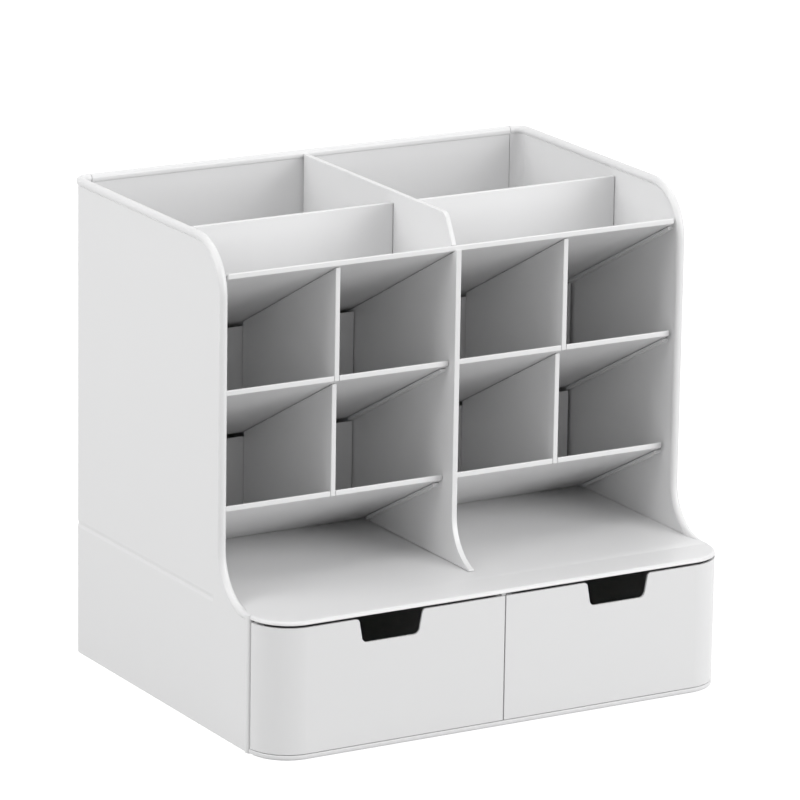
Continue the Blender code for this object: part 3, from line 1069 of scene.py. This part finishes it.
@dataclass
class BasePlate:
    """The bottom board that the drawers slide on."""

    name: str = "base_plate"
    top_edge: float = 0.5 * MM
    low_edge: float = 1.2 * MM

    def build(self) -> None:
        """Builds and dresses the board."""
        rear = SIZES.depth - SIZES.foot - SIZES.wall - SIZES.gap
        plan = footprint([(SIZES.panel_inner - SIZES.gap, SIZES.seam - SIZES.gap)], rear, 0.0)
        piece = Piece.plate(self.name + "_fine", View.PLAN, plan, 0.0, SIZES.base, steps=24)
        shoulder = SIZES.seam - SIZES.gap + NEAR
        high = SIZES.base - NEAR

        def in_front(spot: Vector) -> bool:
            """Whether a point lies in front of the side panels' seams."""
            return depth_of(spot) < shoulder

        piece.round_edges(lambda spot: in_front(spot) and spot.z > high, self.top_edge, segments=3)
        piece.round_edges(lambda spot: in_front(spot) and spot.z < NEAR, self.low_edge, segments=5)
        piece.done(SHELL_FINISH, "housing", self.name)


@dataclass
class Deck:
    """The open shelf over the drawers, with its thin front lip."""

    name: str = "deck"
    top_edge: float = 1.7 * MM
    low_edge: float = 0.12 * MM
    shoulder_gap: float = 0.05 * MM
    tongue_inset: float = 1.3 * MM
    tongue_end: float = 29.0 * MM

    def build(self) -> None:
        """Builds and dresses the shelf, with a tongue at each side that meets the foot of the rim."""
        shoulder = SIZES.seam - self.shoulder_gap
        sides = [
            (SIZES.half - self.tongue_inset, shoulder),
            (SIZES.panel_inner - SIZES.gap, self.tongue_end),
        ]
        plan = footprint(sides, SIZES.back_inner - SIZES.gap, SIZES.inner_corner)
        piece = Piece.plate(self.name + "_fine", View.PLAN, plan, SIZES.deck_low, SIZES.deck_top, steps=24)
        high = SIZES.deck_top - NEAR
        low = SIZES.deck_low + NEAR

        def in_front(spot: Vector) -> bool:
            """Whether a point lies in front of the side panels' seams."""
            return depth_of(spot) < shoulder + NEAR

        def on_shoulder(spot: Vector) -> bool:
            """Whether a point lies on the edge that faces a side panel's seam."""
            return depth_of(spot) > shoulder - NEAR and abs(spot.x) < SIZES.half - NEAR

        def on_top(spot: Vector) -> bool:
            """Whether a point lies on the top edge that is rounded."""
            return in_front(spot) and spot.z > high and not on_shoulder(spot)

        piece.round_edges(on_top, self.top_edge, segments=6)
        piece.round_edges(lambda spot: in_front(spot) and spot.z < low, self.low_edge, segments=2)
        piece.done(DECK_FINISH, "housing", self.name)


@dataclass
class BayPartition:
    """The upright partition between the drawer bays, which keeps its CAD shape."""

    name: str = "drawer_bay_partition"

    def build(self) -> None:
        """Dresses the CAD node."""
        node = bpy.data.objects[self.name]
        for slot in node.material_slots:
            slot.material = SHELL_FINISH.material()
        log.info("%s: finish on the CAD shape", self.name)


@dataclass
class CentreWall:
    """The wall in the middle, with its flare and a rail under each tray."""

    name: str = "centre_wall"
    edge: float = 0.35 * MM
    rail_edge: float = 0.3 * MM
    toe: float = 0.75 * MM
    spare: float = 1.0 * MM

    def build(self) -> None:
        """Builds and dresses the wall."""
        low = SIZES.deck_top + SIZES.gap
        rear = SIZES.back_inner - SIZES.gap
        flare_end = SIZES.front_edge - SIZES.flare
        front = SIZES.front_edge
        corners = [
            (rear, Tier.TOP.underside(rear) - SIZES.gap, 0.0),
            (front, Tier.TOP.underside(front) - SIZES.gap, 0.0),
            (front, SIZES.deck_top, SIZES.flare),
            (flare_end - self.spare, SIZES.deck_top, 0.0),
            (flare_end - self.spare, low - self.spare, 0.0),
            (rear, low - self.spare, 0.0),
        ]
        half = SIZES.centre_wall / 2
        piece = Piece.plate(self.name + "_fine", View.SIDE, corners, -half, half, steps=24)
        piece.slice(Vector((0, 0, low)), Vector((0, 0, -1)))
        angle = math.acos(1 - (self.toe + SIZES.gap) / SIZES.flare)
        piece.slice(View.SIDE.spot(flare_end + SIZES.flare * math.sin(angle), 0, 0), Vector((0, -1, 0)))
        piece.close()
        piece.soften(self.edge)
        reach = half + SIZES.rail_reach
        for tier, start, end in rail_spans():
            if tier is Tier.TOP:
                continue
            rail = Piece.plate("rail", View.SIDE, rail_outline(tier, start, end), -reach, reach)
            rail.soften(self.rail_edge)
            piece.join(rail)
        piece.done(SHELL_FINISH, "housing", self.name)


@dataclass
class HalfTray:
    """A slanted tray between the centre wall and one side panel, with its divider."""

    side: int
    tier: Tier
    floor_fillet: float = 1.2 * MM
    end_edge: float = 0.4 * MM
    divider: float = 2.6 * MM
    divider_edge: float = 0.4 * MM
    slot_depth: float = 2.2 * MM
    slot_gap: float = 0.12 * MM
    slot_drop: float = 4.0 * MM
    slot_rise: float = 1.0 * MM

    @property
    def divider_middle(self) -> float:
        """X of the divider's middle."""
        return self.side * self.tier.value.divider

    @property
    def stem(self) -> str:
        """Start of the nodes' names."""
        return f"{side_word(self.side)}_{self.tier.word}"

    def outline(self) -> list[Corner]:
        """Side view of the tray: slanted floor, foot and rear stop."""
        tier = self.tier
        stop_back = SIZES.stop + SIZES.tray
        above = tier.above()
        clear = SIZES.rail + 2 * SIZES.gap
        stop = [
            (stop_back, above.underside(stop_back) - clear, 0.0),
            (SIZES.stop, above.underside(SIZES.stop) - clear, 0.0),
        ]
        if tier is Tier.PENCIL:
            return [
                *tier.front_edge(),
                (stop_back, tier.underside(stop_back), 0.0),
                *stop,
                (SIZES.stop, tier.floor(SIZES.stop), self.floor_fillet),
            ]
        foot_low = SIZES.deck_top + SIZES.gap
        foot_high = foot_low + SIZES.tray
        return [
            *tier.front_edge(),
            (tier.depth_at(foot_low), foot_low, 0.0),
            (stop_back, foot_low, 0.0),
            *stop,
            (SIZES.stop, foot_high, self.floor_fillet),
            (tier.depth_at(foot_high - SIZES.floor_rise), foot_high, 2 * self.floor_fillet),
        ]

    def build(self) -> None:
        """Builds and dresses the tray and its divider."""
        name = self.stem + "_tray"
        near = SIZES.centre_wall / 2 + SIZES.gap
        far = SIZES.rim_inner - SIZES.tray_end_gap
        low, high = sorted((self.side * near, self.side * far))
        tray = Piece.plate(name + "_fine", View.SIDE, self.outline(), low, high, steps=8)
        tray.cut(self.slot())
        tray.soften(self.end_edge)
        tray.done(TRAY_FINISH, "housing", name)
        self.build_divider()

    def slot(self) -> Piece:
        """Makes the cutter of the slot that takes the divider's foot.

        Returns:
            The cutter.
        """
        front = self.tier.value.front
        low = self.tier.underside(front) - self.slot_drop
        high = self.tier.floor(front) + self.slot_rise
        corners = rectangle(front - self.slot_rise, low, front + self.slot_depth, high)
        middle = self.divider_middle
        half = self.divider / 2 + self.slot_gap
        return Piece.plate("slot", View.SIDE, corners, middle - half, middle + half)

    def build_divider(self) -> None:
        """Builds and dresses the divider that splits the tray and carries the tier above."""
        tier = self.tier
        above = tier.above()
        name = self.stem + "_divider"
        front = tier.value.front
        foot_end = front + self.slot_depth - self.slot_gap
        rear = SIZES.stop - SIZES.gap
        corners = [
            (front, tier.underside(front), SIZES.tray_edge),
            (foot_end, tier.underside(foot_end), 0.0),
            (foot_end, tier.floor(foot_end) + SIZES.gap, 0.0),
        ]
        if tier is Tier.MARKER:
            foot_high = SIZES.deck_top + SIZES.gap + SIZES.tray
            corners.append((tier.depth_at(foot_high - SIZES.floor_rise), foot_high + SIZES.gap, 0.0))
            corners.append((rear, foot_high + SIZES.gap, 0.0))
        else:
            corners.append((rear, tier.floor(rear) + SIZES.gap, 0.0))
        corners.append((rear, above.underside(rear) - SIZES.gap, 0.0))
        corners.append((front, above.underside(front) - SIZES.gap, 0.0))
        middle = self.divider_middle
        half = self.divider / 2
        plate = Piece.plate(name + "_fine", View.SIDE, corners, middle - half, middle + half, steps=6)
        plate.soften(self.divider_edge)
        plate.done(TRAY_FINISH, "housing", name)


@dataclass
class TopBins:
    """The top tray with its centre divider and two crosswise partitions."""

    end_edge: float = 1.0 * MM
    end_reach: float = 4.0 * MM
    divider: float = 2.6 * MM
    divider_setback: float = 1.5 * MM
    divider_drop: float = 1.8 * MM
    divider_corner: float = 5.0 * MM
    partition_depth: float = 109.0 * MM
    partition: float = 2.0 * MM
    partition_rise: float = 38.3 * MM
    edge: float = 0.45 * MM

    def build(self) -> None:
        """Builds and dresses the tray and its upright plates."""
        self.build_tray()
        self.build_divider()
        self.build_partition(-1)
        self.build_partition(1)

    def build_tray(self) -> None:
        """Builds and dresses the tray."""
        tier = Tier.TOP
        name = "top_tray"
        rear = SIZES.back_inner - SIZES.gap
        corners = tier.front_edge()
        corners += [(rear, tier.underside(rear), 0.0), (rear, tier.floor(rear), 0.0)]
        span = SIZES.rim_inner - SIZES.tray_end_gap
        tray = Piece.plate(name + "_fine", View.SIDE, corners, -span, span, steps=8)
        near = tier.value.front + self.end_reach

        def at_end(spot: Vector) -> bool:
            """Whether a point lies on the tray's left or right end."""
            return abs(spot.x) > span - NEAR

        def at_rear(spot: Vector) -> bool:
            """Whether a point lies on a rear corner of the tray."""
            return at_end(spot) and depth_of(spot) > rear - NEAR

        tray.round_edges(lambda spot: at_end(spot) and depth_of(spot) < near, self.end_edge, segments=5)
        tray.round_edges(at_rear, SIZES.inner_corner, segments=8)
        tray.done(TRAY_FINISH, "housing", name)

    def build_divider(self) -> None:
        """Builds and dresses the divider that runs from front to back."""
        tier = Tier.TOP
        name = "top_centre_divider"
        start = tier.value.front + self.divider_setback
        low = tier.floor(start) + SIZES.gap
        high = SIZES.height - self.divider_drop
        rear = SIZES.depth - SIZES.wall / 2 - SIZES.rim / 2 - SIZES.gap
        corners = [
            (start, low, 0.0),
            (rear, tier.floor(rear) + SIZES.gap, 0.0),
            (rear, high, 0.0),
            (start + (high - low) * SIZES.slope, high, self.divider_corner),
        ]
        half = self.divider / 2
        plate = Piece.plate(name + "_fine", View.SIDE, corners, -half, half)
        plate.soften(self.edge)
        plate.done(TRAY_FINISH, "housing", name)

    def build_partition(self, side: int) -> None:
        """Builds and dresses one crosswise partition.

        Args:
            side: -1 for the left bin, 1 for the right one.
        """
        tier = Tier.TOP
        name = side_word(side) + "_top_partition"
        near_depth = self.partition_depth
        rear = near_depth + self.partition
        high = tier.floor(near_depth) + self.partition_rise
        corners = [
            (near_depth, tier.floor(near_depth) + SIZES.gap, 0.0),
            (rear, tier.floor(rear) + SIZES.gap, 0.0),
            (rear, high, 0.0),
            (near_depth, high, 0.0),
        ]
        ends = sorted((side * (self.divider / 2 + SIZES.gap), side * (SIZES.panel_inner - SIZES.gap)))
        plate = Piece.plate(name + "_fine", View.SIDE, corners, ends[0], ends[1])
        plate.soften(self.edge)
        plate.done(TRAY_FINISH, "housing", name)


@dataclass
class Drawer:
    """One drawer: its front with the rounded return and finger notch, and the box behind it."""

    side: int
    bottom: float = 3.0 * MM
    front_top: float = 65.0 * MM
    side_top: float = 60.0 * MM
    front: float = 1.2 * MM
    wall: float = 2.0 * MM
    split: float = 0.7 * MM
    side_slot: float = 1.4 * MM
    slide_gap: float = 0.8 * MM
    partition: float = 2.4 * MM
    rear_gap: float = 2.0 * MM
    floor_fillet: float = 1.2 * MM
    box_start: float = 11.0 * MM
    rear_corner: float = 3.0 * MM
    edge: float = 0.25 * MM
    cut_end: float = 30.0 * MM
    spare: float = 1.0 * MM
    notch_middle: float = 62.8 * MM
    notch_low_width: float = 30.5 * MM
    notch_top_width: float = 34.7 * MM
    notch_depth: float = 11.9 * MM
    notch_low_radius: float = 3.0 * MM
    notch_lip_radius: float = 1.8 * MM

    @property
    def name(self) -> str:
        """The node's name."""
        return side_word(self.side) + "_drawer"

    @property
    def middle(self) -> float:
        """X of the finger notch's middle."""
        return self.side * self.notch_middle

    def plan(self, spans: Spans, front_radius: float = 0.0, rear_radius: float = 0.0) -> list[Corner]:
        """Gives the plan of a block of this drawer.

        Args:
            spans: distance of its inner side from the middle, its front's depth, its outer side, its rear.
            front_radius: radius of its outer front corner.
            rear_radius: radius of its rear corners.

        Returns:
            The plan's corners.
        """
        inner, start, outer, end = spans
        return [
            (self.side * inner, start, 0.0),
            (self.side * outer, start, front_radius),
            (self.side * outer, end, rear_radius),
            (self.side * inner, end, rear_radius),
        ]

    def build(self) -> None:
        """Builds and dresses the drawer."""
        split = self.split / 2
        inner = self.partition / 2 + self.slide_gap
        outer = SIZES.panel_inner - self.slide_gap
        rear = SIZES.depth - SIZES.foot - SIZES.wall - self.rear_gap
        shoulder = SIZES.seam - self.side_slot
        far = self.cut_end
        plan = self.plan((split, 0.0, SIZES.half, far), front_radius=SIZES.corner)
        piece = Piece.plate(self.name + "_fine", View.PLAN, plan, self.bottom, self.front_top, steps=24)
        piece.slice(View.PLAN.spot(0, shoulder, 0), Vector((0, 1, 0)))
        piece.close()
        plan = self.plan((split - self.spare, self.front, inner, far))
        low = self.bottom - self.spare
        piece.cut(Piece.plate("inner_step", View.PLAN, plan, low, self.front_top + self.spare))
        plan = self.plan((inner, self.box_start, outer, rear), rear_radius=self.rear_corner)
        piece.join(Piece.plate("box", View.PLAN, plan, self.bottom, self.side_top, steps=6))
        self.hollow(piece, inner, outer, rear, shoulder)
        piece.cut(self.notch())
        piece.clean()
        piece.soften(self.edge)
        piece.done(DRAWER_FINISH, self.name + "_body", self.name)

    def hollow(self, piece: Piece, inner: float, outer: float, rear: float, shoulder: float) -> None:
        """Cuts the drawer's inside, with rounded floor edges.

        Args:
            piece: the solid drawer.
            inner: X of the box's inner side.
            outer: X of its outer side.
            rear: depth of its rear face.
            shoulder: depth where the front's return ends.
        """
        floor = self.bottom + self.wall
        top = self.front_top + self.spare
        near = inner + self.wall
        spans = (near, self.front, SIZES.half - self.front, self.cut_end)
        plan = self.plan(spans, front_radius=SIZES.corner - self.front)
        cavity = Piece.plate("cavity", View.PLAN, plan, floor, top, steps=24)
        cavity.slice(View.PLAN.spot(0, shoulder - self.wall, 0), Vector((0, 1, 0)))
        cavity.close()
        spans = (near, self.box_start, outer - self.wall, rear - self.wall)
        plan = self.plan(spans, rear_radius=self.rear_corner)
        cavity.join(Piece.plate("cavity_rear", View.PLAN, plan, floor, top, steps=6))
        cavity.clean()
        cavity.round_edges(lambda spot: spot.z < floor + NEAR, self.floor_fillet, segments=5)
        piece.cut(cavity)

    def notch(self) -> Piece:
        """Makes the cutter of the finger notch.

        Returns:
            The cutter.
        """
        top = self.front_top
        low = top - self.notch_depth
        half_low = self.notch_low_width / 2
        half_top = self.notch_top_width / 2
        mouth = half_top + 2 * self.notch_lip_radius
        high = top + SIZES.over
        corners = [
            (self.middle - half_low, low, self.notch_low_radius),
            (self.middle + half_low, low, self.notch_low_radius),
            (self.middle + half_top, top, self.notch_lip_radius),
            (self.middle + mouth, top, 0.0),
            (self.middle + mouth, high, 0.0),
            (self.middle - mouth, high, 0.0),
            (self.middle - mouth, top, 0.0),
            (self.middle - half_top, top, self.notch_lip_radius),
        ]
        return Piece.plate("notch", View.FRONT, corners, -SIZES.over, self.front + SIZES.over, steps=8)


# Studio


@dataclass(frozen=True)
class Softbox:
    """A rectangular lamp that points at the organizer."""

    name: str
    azimuth: float
    elevation: float
    distance: float
    size: float
    power: float

    def build(self, target: Vector) -> None:
        """Builds the lamp.

        Args:
            target: the point that it faces.
        """
        lamp = bpy.data.lights.new(self.name, "AREA")
        lamp.shape = "SQUARE"
        lamp.size = self.size
        lamp.energy = self.power
        made = bpy.data.objects.new(self.name, lamp)
        bpy.context.scene.collection.objects.link(made)
        turn = math.radians(self.azimuth)
        rise = math.radians(self.elevation)
        out = Vector((math.sin(turn) * math.cos(rise), -math.cos(turn) * math.cos(rise), math.sin(rise)))
        made.location = target + out * self.distance
        made.rotation_euler = out.to_track_quat("Z", "Y").to_euler()


@dataclass
class Studio:
    """Pale floor, soft lamps, world and camera."""

    floor_size: float = 9.0
    floor_paint: float = 0.45
    floor_glow: float = 0.82
    ambient: float = 0.47
    aim: tuple[float, float, float] = (0.0, 0.0, 0.11)
    lens: float = 263.69
    film_width: float = 36.0
    clip_start: float = 0.1
    clip_end: float = 50.0
    eye: tuple[float, float, float] = (-1.38790, -2.36683, 0.89270)
    forward: tuple[float, float, float] = (0.4875, 0.8317, -0.2657)
    right: tuple[float, float, float] = (0.8647, -0.5020, 0.0152)

    def build(self) -> None:
        """Builds the studio."""
        self.build_floor()
        self.build_world()
        self.build_camera()
        for lamp in (
            Softbox("left_softbox", azimuth=-94.0, elevation=28.0, distance=2.3, size=1.6, power=27.6),
            Softbox("right_softbox", azimuth=34.0, elevation=18.0, distance=2.4, size=1.6, power=35.2),
            Softbox("top_softbox", azimuth=-20.0, elevation=80.0, distance=1.5, size=1.2, power=5.0),
            Softbox("rear_softbox", azimuth=120.0, elevation=45.0, distance=1.9, size=1.2, power=4.5),
        ):
            lamp.build(Vector(self.aim))
        bpy.context.scene.view_settings.view_transform = "Standard"

    def build_floor(self) -> None:
        """Builds the floor."""
        leave_edit_mode()
        bpy.ops.mesh.primitive_plane_add(size=self.floor_size)
        floor = bpy.context.object
        floor.name = "studio_floor"
        made = bpy.data.materials.new("floor_white")
        made.use_nodes = True
        graph = Graph(made.node_tree)
        seen = self.seen(graph)
        paint = graph.node("ShaderNodeBsdfDiffuse", {}, {"Color": shade(WHITE, self.floor_paint)})
        light = {"Color": shade(WHITE, 1.0), "Strength": self.floor_glow}
        glow = graph.node("ShaderNodeEmission", {}, light)
        both = graph.node("ShaderNodeAddShader", {}, {0: paint, 1: glow})
        surface = graph.node("ShaderNodeMixShader", {}, {0: seen, 1: paint, 2: both})
        graph.node("ShaderNodeOutputMaterial", {}, {"Surface": surface})
        floor.data.materials.append(made)

    def seen(self, graph: Graph) -> Socket:
        """Makes the mask of rays that show the background.

        Args:
            graph: the nodes that it is added to.

        Returns:
            1 for rays that the camera, a gloss or a clear piece sees by.
        """
        camera = graph.node("ShaderNodeLightPath", {}, {}, "Is Camera Ray")
        gloss = graph.node("ShaderNodeLightPath", {}, {}, "Is Glossy Ray")
        through = graph.node("ShaderNodeLightPath", {}, {}, "Is Transmission Ray")
        total = camera + gloss + through
        return total.math("MINIMUM", total, 1.0)

    def build_world(self) -> None:
        """Builds the even light of the room and its white background."""
        world = bpy.data.worlds.new("studio_world")
        world.use_nodes = True
        graph = Graph(world.node_tree)
        paper = shade(WHITE, 1.0)
        room = graph.node("ShaderNodeBackground", {}, {"Color": paper, "Strength": self.ambient})
        white = graph.node("ShaderNodeBackground", {}, {"Color": paper, "Strength": 1.0})
        surface = graph.node("ShaderNodeMixShader", {}, {0: self.seen(graph), 1: room, 2: white})
        graph.node("ShaderNodeOutputWorld", {}, {"Surface": surface})
        bpy.context.scene.world = world

    def build_camera(self) -> None:
        """Builds the camera."""
        lens = bpy.data.cameras.new("studio_camera")
        lens.lens = self.lens
        lens.sensor_width = self.film_width
        lens.clip_start = self.clip_start
        lens.clip_end = self.clip_end
        made = bpy.data.objects.new("studio_camera", lens)
        bpy.context.scene.collection.objects.link(made)
        ahead = Vector(self.forward).normalized()
        right = Vector(self.right)
        right = (right - ahead * right.dot(ahead)).normalized()
        up = right.cross(ahead)
        turn = Matrix((right, up, -ahead)).transposed().to_4x4()
        made.matrix_world = Matrix.Translation(Vector(self.eye)) @ turn
        bpy.context.scene.camera = made


def main() -> None:
    """Builds the sub-assemblies in order."""
    logging.basicConfig(level=logging.INFO, format="%(name)s: %(message)s")
    Studio().build()
    BasePlate().build()
    Deck().build()
    BackPanel().build()
    BayPartition().build()
    CentreWall().build()
    for side in (-1, 1):
        SidePanel(side).build()
        Drawer(side).build()
        HalfTray(side, Tier.MARKER).build()
        HalfTray(side, Tier.PENCIL).build()
    TopBins().build()


if __name__ == "__main__":
    main()
